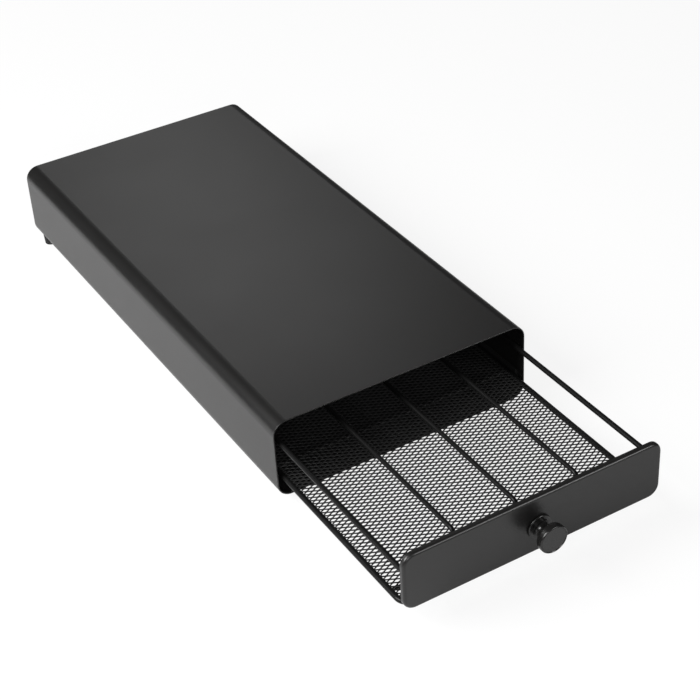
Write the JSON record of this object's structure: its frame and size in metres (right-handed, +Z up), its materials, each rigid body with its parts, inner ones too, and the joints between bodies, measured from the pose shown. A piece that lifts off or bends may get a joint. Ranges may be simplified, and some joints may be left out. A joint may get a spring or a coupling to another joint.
{
  "type": "coffee pod drawer",
  "caption": "Flat sheet-steel casing on rubber feet with a wire tray that slides out at the front on a panel with a round knob; wire dividers make lanes for pods.",
  "frame": {"origin": "on the surface the drawer stands on, under the middle of its overall box with the tray out as in the rest pose", "axes": "+X to the right of someone facing the knob, +Y from the knob towards the back, +Z up"},
  "size_m": [0.21, 0.6112, 0.0699],
  "materials": {
    "casing_coat": "satin black powder coat",
    "panel_coat": "satin black powder coat",
    "wire_coat": "satin black coat on wire",
    "mesh_coat": "satin black coat on expanded sheet",
    "runner_steel": "satin black",
    "knob_coat": "satin black powder coat",
    "fastener_steel": "zinc plated",
    "foot_rubber": "matt"
  },
  "bodies": {
    "casing": {"casing_sleeve": "casing_coat", "seam_strap": "runner_steel", "back_panel": "casing_coat", "runner_left": "runner_steel", "runner_right": "runner_steel", "keeper_left": "runner_steel", "keeper_right": "runner_steel", "foot_front_left": "foot_rubber", "foot_front_right": "foot_rubber", "foot_rear_left": "foot_rubber", "foot_rear_right": "foot_rubber"},
    "drawer": {"front_panel": "panel_coat", "knob": "knob_coat", "knob_washer": "fastener_steel", "knob_screw": "fastener_steel", "lower_rim": "wire_coat", "upper_rail": "wire_coat", "divider_left": "wire_coat", "divider_middle": "wire_coat", "divider_right": "wire_coat", "cross_wire_1": "wire_coat", "cross_wire_2": "wire_coat", "cross_wire_3": "wire_coat", "cross_wire_4": "wire_coat", "cross_wire_5": "wire_coat", "rear_post_1": "wire_coat", "rear_post_2": "wire_coat", "rear_post_3": "wire_coat", "rear_post_4": "wire_coat", "rear_post_5": "wire_coat", "mesh_floor": "mesh_coat", "stop_lug_left": "wire_coat", "stop_lug_right": "wire_coat"}
  },
  "joints": [
    {"name": "drawer_slide", "type": "slide", "parent": "casing", "child": "drawer", "axis": [0, -1, 0], "range_m": [-0.158, 0.1133]}
  ]
}
